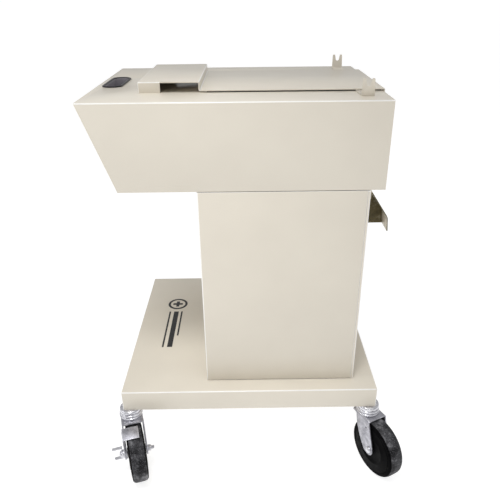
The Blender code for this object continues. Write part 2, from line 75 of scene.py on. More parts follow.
# Recessed hand grip
GRIP_CORNER = 0.0185
GRIP_OPENING_INSET = 0.0042
GRIP_OPENING_CORNER = 0.0143
GRIP_POCKET_ROW = 9
GRIP_POCKET_INSET = 0.0055

# Equipment plate: its sheet, its height over the deck, its bridge, side tabs and rear lip
PLATE_SHEET = 0.0018
PLATE_FOLD = 0.0015
PLATE_TOP = 0.0042
BRIDGE_LENGTH = 0.1099
SIDE_TAB_LENGTH = 0.0395
LIP_DEPTH = 0.0090
# Near-black strips in the gap under the plate's side edges, a painted shadow: inset, heights and end gaps
SHADOW_STRIP_INSET = 0.0030
SHADOW_STRIP_LOW, SHADOW_STRIP_HIGH = 0.0001, 0.0023
SHADOW_STRIP_FRONT_GAP, SHADOW_STRIP_REAR_GAP = 0.012, 0.0065

# Forked posts
POST_SHEET = 0.0015
PRONG_INSIDE = 0.0054
NOTCH_HALF = 0.0030
NOTCH_DEPTH = 0.0128
POST_TAPER = 0.0010

# Cord hooks: knee of the arm, and the strip of back flange left beside the wall
KNEE_INSET = 0.0023
KNEE_HEIGHT = 0.0272
FLANGE_LEFT = 0.012
FLANGE_TOP = 0.0140
WALL_SHEET = 0.0019
WALL_TOP_GAP = 0.0045
WALL_SLANT = (0.0080, 0.0170)

# Printed emblem: ring radii, plus, and the (left edge, width, length) of its bars
EMBLEM_AT = (0.082, 0.340)
EMBLEM_LIFT = 0.00012
EMBLEM_FILM = 0.00010
RING_INSIDE, RING_OUTSIDE = 0.0190, 0.0250
PLUS_ARM, PLUS_HALF = 0.0125, 0.0040
BARS_START = 0.036
BARS = ((-0.006, 0.012, 0.150), (-0.018, 0.004, 0.150), (0.012, 0.004, 0.105))

# Casters, in each caster's own frame: +X along the trail, +Y along the axle
TRAIL = 0.041
WHEEL_RADIUS = 0.0635
TYRE_WIDTH = 0.0335
RIM_RADIUS = 0.045
TREAD_RADIUS = 0.0610
AXLE_RADIUS = 0.004
FORK_HALF = 0.0232
FORK_SHEET = 0.0028
CROWN_TOP = 0.1330
RACE_RADIUS = 0.0245
RACE_TOP = 0.1440
STEM_RADIUS = 0.0050
KING_RADIUS = 0.0075
GAP = 0.0003
BRAKE_ANGLE = math.radians(15.0)
BRAKE_STACK = 0.0081
ARM_SHEET = 0.0025
CAM_WIDTH = 0.0030
ROCKER_SHEET = 0.0020
SHOE_LOW = WHEEL_RADIUS + 0.0042
SHOE_HIGH = SHOE_LOW + 0.0022
CROWN_RADIUS = 0.0042
GUARD_HOLE_RADIUS = 0.0021
GUARD_HOLE_AT = (0.0250, 0.1130)
THREAD_TURNS, THREAD_PITCH, THREAD_DEPTH = 8, 0.0012, 0.0005
STUD_LENGTH = 0.0140
SHOE_INSIDE = 0.0085
EYE_LEVEL, EYE_RADIUS = -0.0175, 0.0024
CAM_RADIUS = 0.0090
TAB_HALF, TAB_SHEET, TAB_CORNER = 0.0036, 0.0017, 0.003
TABS = ((0.0171, 0.0205), (-0.0097, 0.0175))

# Studio: floor and world, and the camera in metres and millimetres
FLOOR_SIZE = 60.0
FLOOR_GLOW = 0.75
WORLD_STRENGTH = 0.50
CAMERA_AT = (-0.01456, -1.0537, 0.9539)
SENSOR, LENS = 36.0, 38.19


# ---------------------------------------------------------------- meshes
def mesh_object(name, bm):
    """Object of a bmesh, with one slot for its faces and one for its edges."""
    mesh = bpy.data.meshes.new(name)
    bm.to_mesh(mesh)
    bm.free()
    mesh.materials.append(None)
    mesh.materials.append(None)
    obj = bpy.data.objects.new(name, mesh)
    bpy.context.scene.collection.objects.link(obj)
    return obj


def settle(obj, angle=32.0):
    """Apply the modifiers, then smooth everything but the sharp edges."""
    graph = bpy.context.evaluated_depsgraph_get()
    mesh = bpy.data.meshes.new_from_object(obj.evaluated_get(graph))
    obj.modifiers.clear()
    obj.data = mesh
    mesh.shade_smooth()
    mesh.set_sharp_from_angle(angle=math.radians(angle))
    return obj


def edge_break(obj, width=0.0004, segments=2, material=-1):
    """Bevel the sharp edges; material is the slot the bevel faces get, -1 for their neighbours'."""
    mod = obj.modifiers.new("edge", "BEVEL")
    mod.material = material
    mod.width = width
    mod.segments = segments
    mod.limit_method = "ANGLE"
    mod.angle_limit = math.radians(BREAK_ANGLE)


def cut(obj, tool, operation="DIFFERENCE"):
    """Boolean with a helper that is then thrown away."""
    mod = obj.modifiers.new("cut", "BOOLEAN")
    mod.operation = operation
    mod.solver = "EXACT"
    mod.object = tool
    graph = bpy.context.evaluated_depsgraph_get()
    mesh = bpy.data.meshes.new_from_object(obj.evaluated_get(graph))
    obj.modifiers.clear()
    obj.data = mesh
    bpy.data.objects.remove(tool, do_unlink=True)
    return obj


def box_mesh(name, low, high):
    """Block between two corners."""
    bm = bmesh.new()
    bmesh.ops.create_cube(bm, size=1.0)
    low = Vector(low)
    high = Vector(high)
    bmesh.ops.scale(bm, vec=high - low, verts=bm.verts)
    bmesh.ops.translate(bm, vec=(low + high) / 2, verts=bm.verts)
    return mesh_object(name, bm)


def loft(name, rings):
    """Skin closed rings of points, with a cap at each end."""
    bm = bmesh.new()
    rows = [[bm.verts.new(p) for p in ring] for ring in rings]
    count = len(rows[0])
    for a, b in zip(rows, rows[1:]):
        for i in range(count):
            j = (i + 1) % count
            bm.faces.new((a[i], a[j], b[j], b[i]))
    bm.faces.new(list(reversed(rows[0])))
    bm.faces.new(rows[-1])
    bmesh.ops.recalc_face_normals(bm, faces=bm.faces)
    return mesh_object(name, bm)


def spun(name, profile, sides=64, axis="Z", closed=False):
    """Turned piece from (radius, height) points; closed joins the last to the first."""
    bm = bmesh.new()
    rows = []
    for r, h in profile:
        if r < 1e-6:
            rows.append([bm.verts.new((0, 0, h))])
            continue
        ring = []
        for i in range(sides):
            t = 2 * math.pi * i / sides
            ring.append(bm.verts.new((r * math.cos(t), r * math.sin(t), h)))
        rows.append(ring)
    pairs = list(zip(rows, rows[1:]))
    if closed:
        pairs.append((rows[-1], rows[0]))
    for a, b in pairs:
        for i in range(sides):
            j = (i + 1) % sides
            if len(a) == 1:
                bm.faces.new((a[0], b[i], b[j]))
            elif len(b) == 1:
                bm.faces.new((a[i], a[j], b[0]))
            else:
                bm.faces.new((a[i], a[j], b[j], b[i]))
    bmesh.ops.recalc_face_normals(bm, faces=bm.faces)
    obj = mesh_object(name, bm)
    if axis == "Y":
        obj.data.transform(Matrix.Rotation(math.pi / 2, 4, "X"))
    if axis == "X":
        obj.data.transform(Matrix.Rotation(math.pi / 2, 4, "Y"))
    return obj


def rounded_rectangle(cx, cy, half_x, half_y, radius, steps=8):
    """Outline of a rectangle with round corners, about its centre."""
    points = []
    corners = (
        (cx + half_x - radius, cy + half_y - radius, 0),
        (cx - half_x + radius, cy + half_y - radius, 90),
        (cx - half_x + radius, cy - half_y + radius, 180),
        (cx + half_x - radius, cy - half_y + radius, 270),
    )
    for x, y, start in corners:
        for i in range(steps + 1):
            t = math.radians(start + 90.0 * i / steps)
            points.append((x + radius * math.cos(t), y + radius * math.sin(t)))
    return points


def filleted(points, radius, steps=4):
    """Outline with every corner rounded; a radius can be given for each corner."""
    count = len(points)
    radii = radius if isinstance(radius, (list, tuple)) else [radius] * count
    result = []
    for i, r in enumerate(radii):
        here = Vector(points[i])
        before = Vector(points[i - 1]) - here
        after = Vector(points[(i + 1) % count]) - here
        reach = min(r, 0.48 * before.length, 0.48 * after.length)
        if reach < 1e-6:
            result.append(tuple(here))
            continue
        start = here + before.normalized() * reach
        end = here + after.normalized() * reach
        for k in range(steps + 1):
            t = k / steps
            result.append(tuple(start * (1 - t) ** 2 + here * 2 * t * (1 - t) + end * t * t))
    return result


def slab(name, outline, low, high, across="Z"):
    """Flat piece of an outline, between two heights along one axis."""
    rings = []
    for h in (low, high):
        if across == "Z":
            rings.append([(a, b, h) for a, b in outline])
        elif across == "Y":
            rings.append([(a, h, b) for a, b in outline])
        else:
            rings.append([(h, a, b) for a, b in outline])
    return loft(name, rings)


def folded(name, corners, faces, inside, thickness=SHEET, radius=FOLD, segments=5):
    """Bent sheet: outer corners and faces, with every shared edge folded to a radius."""
    bm = bmesh.new()
    verts = [bm.verts.new(c) for c in corners]
    for face in faces:
        bm.faces.new([verts[i] for i in face])
    bm.normal_update()
    inside = Vector(inside)
    for face in bm.faces:
        if face.normal.dot(face.calc_center_median() - inside) < 0:
            face.normal_flip()
    folds = [e for e in bm.edges if len(e.link_faces) == 2 and e.calc_face_angle(0) > 0.1]
    # Fold faces take the edge slot, which holds the lightened cream: a painted highlight along each fold
    bmesh.ops.bevel(
        bm,
        geom=folds,
        offset=radius,
        segments=segments,
        profile=0.5,
        affect="EDGES",
        clamp_overlap=True,
        material=EDGE,
    )
    obj = mesh_object(name, bm)
    mod = obj.modifiers.new("gauge", "SOLIDIFY")
    mod.thickness = thickness
    mod.offset = -1.0
    mod.use_even_offset = True
    return obj


# ---------------------------------------------------------------- materials
class Shader:
    """Small helper that builds one procedural material."""

    def __init__(self, name):
        self.mat = bpy.data.materials.new(name)
        self.mat.use_nodes = True
        self.tree = self.mat.node_tree
        self.bsdf = self.tree.nodes["Principled BSDF"]
        self.coords = self.tree.nodes.new("ShaderNodeTexCoord")
        self.space = self.coords.outputs["Object"]

    def node(self, kind, **settings):
        node = self.tree.nodes.new(kind)
        for key, value in settings.items():
            setattr(node, key, value)
        return node

    def link(self, source, target):
        self.tree.links.new(source, target)

    def noise(self, scale, detail=4.0, rough=0.55, stretch=None):
        node = self.node("ShaderNodeTexNoise")
        node.inputs["Scale"].default_value = scale
        node.inputs["Detail"].default_value = detail
        node.inputs["Roughness"].default_value = rough
        source = self.space
        if stretch is not None:
            mapping = self.node("ShaderNodeMapping")
            mapping.inputs["Scale"].default_value = stretch
            self.link(source, mapping.inputs["Vector"])
            source = mapping.outputs["Vector"]
        self.link(source, node.inputs["Vector"])
        return node.outputs["Fac"]

    def ramp(self, source, stops):
        node = self.node("ShaderNodeValToRGB")
        ramp = node.color_ramp
        while len(ramp.elements) < len(stops):
            ramp.elements.new(0.5)
        for element, (place, colour) in zip(ramp.elements, stops):
            element.position = place
            if isinstance(colour, (int, float)):
                colour = (colour, colour, colour)
            element.color = (*colour, 1.0)
        self.link(source, node.inputs["Fac"])
        return node.outputs["Color"]

    def mix(self, factor, first, second):
        """Blend two colours or colour sockets by a factor socket."""
        node = self.node("ShaderNodeMix", data_type="RGBA")
        sockets = (node.inputs[0], node.inputs[6], node.inputs[7])
        for socket, value in zip(sockets, (factor, first, second)):
            if isinstance(value, tuple):
                socket.default_value = (*value, 1.0)
            else:
                self.link(value, socket)
        return node.outputs[2]

    def bump(self, height, strength, distance, normal=None):
        node = self.node("ShaderNodeBump")
        node.inputs["Strength"].default_value = strength
        node.inputs["Distance"].default_value = distance
        self.link(height, node.inputs["Height"])
        if normal is not None:
            self.link(normal, node.inputs["Normal"])
        return node.outputs["Normal"]

    def set(self, **values):
        for key, value in values.items():
            self.bsdf.inputs[key.replace("_", " ")].default_value = value


def cream_paint(name, lift=0.0):
    """Semi-gloss cream powder coat: fine orange peel, faint soiling and small scuffs.

    lift lightens it towards white: a painted highlight on folds and cut edges, where the rounded metal
    catches the light.
    """
    s = Shader(name)

    def tone(r, g, b):
        return tuple(c + (1.0 - c) * lift for c in (r, g, b))

    broad = s.ramp(s.noise(5.0, 3.0), ((0.35, 0.0), (0.65, 1.0)))
    tint = s.mix(broad, tone(0.700, 0.648, 0.555), tone(0.742, 0.690, 0.592))
    grain = s.noise(420.0, 2.0)
    tint = s.mix(s.ramp(grain, ((0.3, 0.0), (0.7, 0.10))), tint, tone(0.800, 0.752, 0.655))
    soil = s.noise(38.0, 8.0, 0.7)
    tint = s.mix(s.ramp(soil, ((0.68, 0.0), (0.82, 0.14))), tint, (0.420, 0.370, 0.290))
    scuff = s.noise(90.0, 6.0, 0.8, (0.12, 1.0, 1.0))
    tint = s.mix(s.ramp(scuff, ((0.745, 0.0), (0.77, 0.40))), tint, (0.330, 0.290, 0.230))
    s.link(tint, s.bsdf.inputs["Base Color"])
    rough = s.ramp(s.noise(14.0, 4.0), ((0.3, 0.36), (0.7, 0.46)))
    s.link(rough, s.bsdf.inputs["Roughness"])
    peel = s.bump(s.noise(900.0, 2.0, 0.4), 0.12, 0.0004)
    wave = s.bump(s.noise(9.0, 1.0), 0.08, 0.002, peel)
    s.link(wave, s.bsdf.inputs["Normal"])
    s.set(Specular_IOR_Level=0.45, Coat_Weight=0.35, Coat_Roughness=0.12)
    return s.mat


def zinc(name, dark, mid, light, grime=0.75, low_rough=0.26, high_rough=0.52):
    """Zinc plate: cloudy spangle, fine scratches, dull grime in specks and patches."""
    s = Shader(name)
    cloud = s.noise(85.0, 6.0, 0.65)
    tint = s.ramp(cloud, ((0.30, dark), (0.52, mid), (0.74, light)))
    speck = s.noise(420.0, 6.0, 0.75)
    tint = s.mix(s.ramp(speck, ((0.56, 0.0), (0.70, grime))), tint, (0.10, 0.095, 0.09))
    bare = s.noise(700.0, 3.0, 0.6)
    tint = s.mix(s.ramp(bare, ((0.60, 0.0), (0.70, 0.5))), tint, (0.85, 0.86, 0.90))
    s.link(tint, s.bsdf.inputs["Base Color"])
    rough = s.ramp(s.noise(130.0, 6.0, 0.7), ((0.25, low_rough), (0.75, high_rough)))
    s.link(rough, s.bsdf.inputs["Roughness"])
    scratch = s.bump(s.noise(300.0, 3.0, 0.6, (0.15, 1.0, 1.0)), 0.16, 0.0004)
    dents = s.bump(s.noise(60.0, 2.0), 0.10, 0.001, scratch)
    s.link(dents, s.bsdf.inputs["Normal"])
    s.set(Metallic=0.85)
    return s.mat


def rubber(name, dark, mid, pale, speckle, gloss):
    """Black tyre rubber, with dust rubbed into it in soft patches and fine specks."""
    s = Shader(name)
    dust = s.noise(26.0, 8.0, 0.68)
    tint = s.ramp(dust, ((0.40, dark), (0.52, mid), (0.64, pale)))
    speck = s.noise(520.0, 4.0, 0.65)
    tint = s.mix(s.ramp(speck, ((0.55, 0.0), (0.68, speckle))), tint, (0.26, 0.26, 0.28))
    s.link(tint, s.bsdf.inputs["Base Color"])
    rough = s.ramp(s.noise(60.0, 4.0), ((0.3, 0.50), (0.7, 0.72)))
    s.link(rough, s.bsdf.inputs["Roughness"])
    s.link(s.bump(s.noise(700.0, 4.0, 0.7), 0.35, 0.0005), s.bsdf.inputs["Normal"])
    s.set(Specular_IOR_Level=gloss)
    return s.mat


def moulded(name, dark, light, low_rough, high_rough, grain=900.0, strength=0.25, gloss=0.35):
    """Moulded plastic with a fine spark-eroded grain."""
    s = Shader(name)
    tint = s.mix(s.ramp(s.noise(26.0, 5.0), ((0.35, 0.0), (0.7, 1.0))), dark, light)
    lift = tuple(min(1.0, 2.2 * c + 0.01) for c in light)
    tint = s.mix(s.ramp(s.noise(240.0, 6.0, 0.75), ((0.62, 0.0), (0.76, 0.5))), tint, lift)
    s.link(tint, s.bsdf.inputs["Base Color"])
    rough = s.ramp(s.noise(80.0, 4.0), ((0.3, low_rough), (0.7, high_rough)))
    s.link(rough, s.bsdf.inputs["Roughness"])
    s.link(s.bump(s.noise(grain, 3.0, 0.6), strength, 0.0004), s.bsdf.inputs["Normal"])
    s.set(Specular_IOR_Level=gloss)
    return s.mat


def painted_shade_paint():
    """Cream paint darkened to olive brown: painted shade inside the cord hooks."""
    s = Shader("painted_shade_paint")
    film = s.noise(60.0, 7.0, 0.7)
    dark, mid, pale = (0.062, 0.050, 0.020), (0.120, 0.100, 0.052), (0.28, 0.25, 0.18)
    tint = s.ramp(film, ((0.35, dark), (0.55, mid), (0.75, pale)))
    s.link(tint, s.bsdf.inputs["Base Color"])
    s.link(s.ramp(s.noise(120.0, 4.0), ((0.3, 0.6), (0.7, 0.8))), s.bsdf.inputs["Roughness"])
    s.link(s.bump(s.noise(800.0, 3.0), 0.2, 0.0004), s.bsdf.inputs["Normal"])
    s.set(Specular_IOR_Level=0.2)
    return s.mat


def printed_ink():
    """Screen-printed black ink with slightly broken edges."""
    s = Shader("printed_ink")
    thin = s.ramp(s.noise(300.0, 5.0, 0.7), ((0.55, 0.0), (0.75, 1.0)))
    tint = s.mix(thin, (0.012, 0.012, 0.013), (0.05, 0.05, 0.05))
    s.link(tint, s.bsdf.inputs["Base Color"])
    s.link(s.ramp(s.noise(90.0, 3.0), ((0.3, 0.30), (0.7, 0.42))), s.bsdf.inputs["Roughness"])
    s.link(s.bump(s.noise(900.0, 2.0), 0.1, 0.0003), s.bsdf.inputs["Normal"])
    return s.mat


# Second slot: the cream lightened towards white, a painted highlight for folds and cut edges
PAINT = [cream_paint("cream_powder_coat"), cream_paint("cream_powder_coat_painted_highlight", 0.65)]
# The second slot of each zinc is a lighter copy of the same zinc: a painted highlight for bevelled edges
FORK_ZINC = [
    zinc("zinc_plate", (0.23, 0.23, 0.26), (0.41, 0.41, 0.45), (0.60, 0.60, 0.65)),
    zinc("zinc_plate_painted_highlight", (0.50, 0.50, 0.54), (0.70, 0.70, 0.74), (0.85, 0.85, 0.88), 0.45),
]
BRIGHT_ZINC = [
    zinc("bright_zinc", (0.42, 0.42, 0.46), (0.68, 0.68, 0.72), (0.88, 0.88, 0.91), 0.25, 0.18, 0.38),
    zinc("bright_zinc_painted_highlight", (0.60, 0.60, 0.64), (0.80, 0.80, 0.83), (0.92, 0.92, 0.94), 0.30, 0.16, 0.30),
]
RUBBER = [
    rubber(
        "tyre_side_wall",
        (0.0015, 0.0015, 0.0018),
        (0.0022, 0.0022, 0.0026),
        (0.005, 0.005, 0.006),
        speckle=0.03,
        gloss=0.02,
    ),
    # Tread rubber, much lighter than the side wall: partly dust, partly a painted highlight where the
    # tread faces the front light
    rubber(
        "tyre_tread_dust_and_highlight",
        (0.006, 0.006, 0.007),
        (0.055, 0.055, 0.060),
        (0.300, 0.300, 0.316),
        speckle=0.50,
        gloss=0.15,
    ),
]
HUB = [moulded("hub_plastic", (0.0015, 0.0015, 0.0018), (0.0032, 0.0032, 0.0036), 0.45, 0.60, gloss=0.03)]
RIM_BLACK = moulded("grip_rim_plastic", (0.004, 0.004, 0.006), (0.010, 0.010, 0.013), 0.28, 0.42)
# Pocket plastic: its own grey, set lighter to make up for the shade in the deep recess, partly painted
# light
POCKET = moulded(
    "grip_pocket_grey_and_painted_light",
    (0.170, 0.162, 0.180),
    (0.240, 0.228, 0.250),
    0.45,
    0.62,
    grain=500.0,
    strength=0.4,
)
# Near-black strip material: a painted shadow in the gap under the plate
SHADOW_STRIP = moulded("plate_gap_shadow", (0.006, 0.006, 0.006), (0.012, 0.012, 0.012), 0.60, 0.75)
INK = printed_ink()
PAINTED_SHADE = painted_shade_paint()


def dress(obj, material):
    """Put materials into a mesh's slots and leave each face's slot number alone."""
    mats = list(material) if isinstance(material, (list, tuple)) else [material]
    slots = obj.data.materials
    while len(slots) < max(2, len(mats)):
        slots.append(None)
    for i in range(len(slots)):
        slots[i] = mats[min(i, len(mats) - 1)]


def place(obj, material, body="cart", stands_for=(), slot=None):
    """Give a piece its finish, the body it rides on and the CAD nodes it stands for."""
    dress(obj, material)
    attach(obj, body)
    if stands_for:
        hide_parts(*stands_for)
    return obj


# ---------------------------------------------------------------- sheet metal
def low_high(node):
    """The two corners of a CAD node's box."""
    low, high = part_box(node)
    return Vector(low), Vector(high)


def box_corners(low, high):
    """Eight corners: four at the bottom, then the four above them."""
    return [
        (low.x, low.y, low.z),
        (high.x, low.y, low.z),
        (high.x, high.y, low.z),
        (low.x, high.y, low.z),
        (low.x, low.y, high.z),
        (high.x, low.y, high.z),
        (high.x, high.y, high.z),
        (low.x, high.y, high.z),
    ]


def sheet_piece(obj, node, width=0.0004):
    """Finish of a painted sheet: rounded cut edges in a lighter paint, a painted highlight."""
    edge_break(obj, width, 2, material=EDGE)
    settle(obj)
    return place(obj, PAINT, stands_for=[node])


def make_base():
    """Folded base pan, open underneath, with the two caster bars inside it."""
    low, high = low_high("base_pan")
    faces = [(4, 5, 6, 7), (0, 1, 5, 4), (1, 2, 6, 5), (2, 3, 7, 6), (3, 0, 4, 7)]
    pan = folded("base_pan_skin", box_corners(low, high), faces, (low + high) / 2)
    sheet_piece(pan, "base_pan", 0.0006)
    for end in ("front", "rear"):
        bar = NODES["caster_bar_" + end]
        edge_break(bar, 0.0006, 2)
        dress(bar, FORK_ZINC[FACE])


def make_column():
    """Column: a sheet folded round three sides, and a shallow cover over the rear."""
    low, high = low_high("column_wrap")
    low.z += FOOT_SEAM
    high.z -= HEAD_SEAM
    faces = [(0, 1, 5, 4), (2, 3, 7, 6), (3, 0, 4, 7)]
    wrap = folded("column_wrap_skin", box_corners(low, high), faces, (low + high) / 2, radius=COLUMN_FOLD)
    sheet_piece(wrap, "column_wrap", 0.0006)

    low, high = low_high("column_rear_panel")
    low.z += FOOT_SEAM
    high.z -= HEAD_SEAM
    faces = [(1, 2, 6, 5), (0, 1, 5, 4), (2, 3, 7, 6), (0, 1, 2, 3), (4, 5, 6, 7)]
    inside = (low.x - 0.05, (low.y + high.y) / 2, (low.z + high.z) / 2)
    corners = box_corners(low, high)
    panel = folded("column_rear_cover", corners, faces, inside, REAR_COVER_SHEET, REAR_COVER_FOLD)
    sheet_piece(panel, "column_rear_panel", 0.0003)
    for level in ("low", "high"):
        for side in ("near", "far"):
            make_panel_screw("panel_screw_%s_%s" % (level, side))


def make_panel_screw(node):
    """Pan-head screw with a cross recess."""
    low, high = low_high(node)
    radius = (high.z - low.z) / 2
    rise = high.x - low.x
    profile = [(0.0, rise)]
    for i in range(1, 7):
        t = math.radians(15.0 * i)
        profile.append((radius * math.sin(t), rise * (0.35 + 0.65 * math.cos(t))))
    profile += [(radius, 0.0), (0.0, 0.0)]
    head = spun(node + "_head", profile, 40, "X")
    head.data.transform(Matrix.Translation((low.x, (low.y + high.y) / 2, (low.z + high.z) / 2)))
    arm, slit = radius * 0.55, radius * 0.11
    for half_y, half_z in ((arm, slit), (slit, arm)):
        centre = Vector((high.x, (low.y + high.y) / 2, (low.z + high.z) / 2))
        reach = Vector((rise * 0.5, half_y, half_z))
        cut(head, box_mesh(node + "_recess", centre - reach, centre + reach))
    settle(head)
    place(head, BRIGHT_ZINC, stands_for=[node])


def make_console():
    """Console: deck and two sides from one sheet, with the hand grip's opening, and plain panels."""
    low, high = low_high("console_wrap")
    foot = low_high("console_floor")[0].x - CONSOLE_FOOT_OVERHANG
    corners = [
        (low.x, low.y, high.z),
        (high.x, low.y, high.z),
        (high.x, high.y, high.z),
        (low.x, high.y, high.z),
        (foot, low.y, low.z),
        (high.x, low.y, low.z),
        (high.x, high.y, low.z),
        (foot, high.y, low.z),
    ]
    faces = [(0, 1, 2, 3), (0, 1, 5, 4), (3, 2, 6, 7)]
    wrap = folded("console_wrap_skin", corners, faces, (low + high) / 2)
    settle(wrap)
    grip_low, grip_high = low_high("hand_grip")
    centre = (grip_low + grip_high) / 2
    half = (grip_high - grip_low) / 2
    half_x, half_y = half.x - GRIP_OPENING_INSET, half.y - GRIP_OPENING_INSET
    outline = rounded_rectangle(centre.x, centre.y, half_x, half_y, GRIP_OPENING_CORNER)
    cut(wrap, slab("grip_cutter", outline, high.z - 0.01, high.z + 0.01))
    sheet_piece(wrap, "console_wrap", 0.0006)
    for plain in ("console_front_panel", "console_rear_panel", "console_floor"):
        panel = NODES[plain]
        dress(panel, PAINT)
        # Bevel faces take the lightened cream: a painted highlight on the panel edges
        edge_break(panel, 0.0005, 2, material=EDGE)


def make_grip():
    """Recessed hand grip: a domed rim round a deep rounded pocket."""
    low, high = low_high("hand_grip")
    cx, cy = (low.x + high.x) / 2, (low.y + high.y) / 2
    hx, hy = (high.x - low.x) / 2, (high.y - low.y) / 2
    deck = low_high("console_wrap")[1].z
    rim = high.z - deck
    # Inset from the rim's outline and height of each row of the moulding
    rows = (
        (0.0062, low.z),
        (0.0050, low.z + 0.0020),
        (0.0048, deck + GAP),
        (0.0000, deck + GAP),
        (0.0000, deck + rim * 0.45),
        (0.0008, deck + rim * 0.80),
        (0.0020, high.z),
        (0.0034, high.z),
        (0.0046, deck + rim * 0.80),
        (0.0056, deck + rim * 0.30),
        (0.0064, deck - 0.0010),
        (0.0066, low.z + 0.0070),
        (0.0074, low.z + 0.0040),
        (0.0092, low.z + 0.0024),
        (0.0120, low.z + 0.0019),
    )
    rings = []
    for inset, height in rows:
        outline = rounded_rectangle(cx, cy, hx - inset, hy - inset, GRIP_CORNER - inset, 10)
        rings.append([(x, y, height) for x, y in outline])
    grip = loft("hand_grip_moulding", rings)
    deep = rings[GRIP_POCKET_ROW][0][2]
    reach_x = hx - GRIP_POCKET_INSET + 1e-6
    reach_y = hy - GRIP_POCKET_INSET + 1e-6
    # Faces deep in the pocket take the lighter pocket plastic: partly painted light
    for face in grip.data.polygons:
        points = [grip.data.vertices[v].co for v in face.vertices]
        inside = all(abs(p.x - cx) < reach_x and abs(p.y - cy) < reach_y for p in points)
        if inside and face.normal.z > -0.5 and face.center.z <= deep:
            face.material_index = EDGE
    settle(grip, 40.0)
    place(grip, [RIM_BLACK, POCKET], stands_for=["hand_grip"])


def make_plate():
    """Equipment plate: one sheet, with its raised bridge, side tabs and rear lip."""
    low, high = low_high("equipment_plate")
    deck = low_high("console_wrap")[1].z
    top = deck + PLATE_TOP
    rear_wall = low.x + BRIDGE_LENGTH
    tab_end = low.x + SIDE_TAB_LENGTH
    lip = top - LIP_DEPTH
    a, b = low.y, high.y
    corners = [
        (low.x, a, low.z),
        (low.x, b, low.z),
        (low.x, a, high.z),
        (low.x, b, high.z),
        (tab_end, a, high.z),
        (tab_end, b, high.z),
        (rear_wall, a, high.z),
        (rear_wall, b, high.z),
        (tab_end, a, low.z),
        (tab_end, b, low.z),
        (rear_wall, a, top),
        (rear_wall, b, top),
        (high.x, a, top),
        (high.x, b, top),
        (high.x, a, lip),
        (high.x, b, lip),
    ]
    faces = [
        (0, 1, 3, 2),
        (2, 4, 6, 7, 5, 3),
        (0, 8, 4, 2),
        (1, 9, 5, 3),
        (6, 7, 11, 10),
        (10, 11, 13, 12),
        (12, 13, 15, 14),
    ]
    inside = ((low.x + rear_wall) / 2, (a + b) / 2, -1.0)
    plate = folded("equipment_plate_skin", corners, faces, inside, PLATE_SHEET, PLATE_FOLD, 4)
    sheet_piece(plate, "equipment_plate", 0.0005)
    # Under each side edge, a near-black strip in the gap: a painted shadow
    for side, y in (("near", a), ("far", b)):
        inner = SHADOW_STRIP_INSET if side == "near" else -SHADOW_STRIP_INSET
        strip = box_mesh(
            "plate_shadow_strip_" + side,
            (rear_wall + SHADOW_STRIP_FRONT_GAP, min(y + inner, y + 4 * inner), deck + SHADOW_STRIP_LOW),
            (high.x - SHADOW_STRIP_REAR_GAP, max(y + inner, y + 4 * inner), deck + SHADOW_STRIP_HIGH),
        )
        edge_break(strip, 0.0003, 2)
        settle(strip)
        place(strip, SHADOW_STRIP, slot="hand_grip")


def make_fork_bracket(side):
    """Angle bracket whose upright ends in a fork; the foot spreads towards the front."""
    node = "fork_bracket_" + side
    low, high = low_high(node)
    near = side == "near"
    face = low.y if near else high.y
    root = high.y if near else low.y
    inward = 1.0 if near else -1.0
    cx = (low.x + high.x) / 2
    half = (high.x - low.x) / 2
    outline = [
        (cx - half, low.z),
        (cx + half, low.z),
        (cx + half - POST_TAPER, high.z),
        (cx + PRONG_INSIDE, high.z),
        (cx + NOTCH_HALF, high.z - NOTCH_DEPTH),
        (cx - NOTCH_HALF, high.z - NOTCH_DEPTH),
        (cx - PRONG_INSIDE, high.z),
        (cx - half + POST_TAPER, high.z),
    ]
    radii = [0.0, 0.0, 0.0024, 0.0020, 0.0026, 0.0026, 0.0020, 0.0024]
    span = sorted((face, face + inward * POST_SHEET))
    bracket = slab(node + "_upright", filleted(outline, radii), span[0], span[1], "Y")
    foot = [
        (cx - half, face + inward * 0.0004),
        (cx + half, face + inward * 0.0004),
        (cx + half, root),
        (cx - half, root),
    ]
    cut(bracket, slab(node + "_foot", foot, low.z, low.z + POST_SHEET), "UNION")
    sheet_piece(bracket, node, 0.0004)


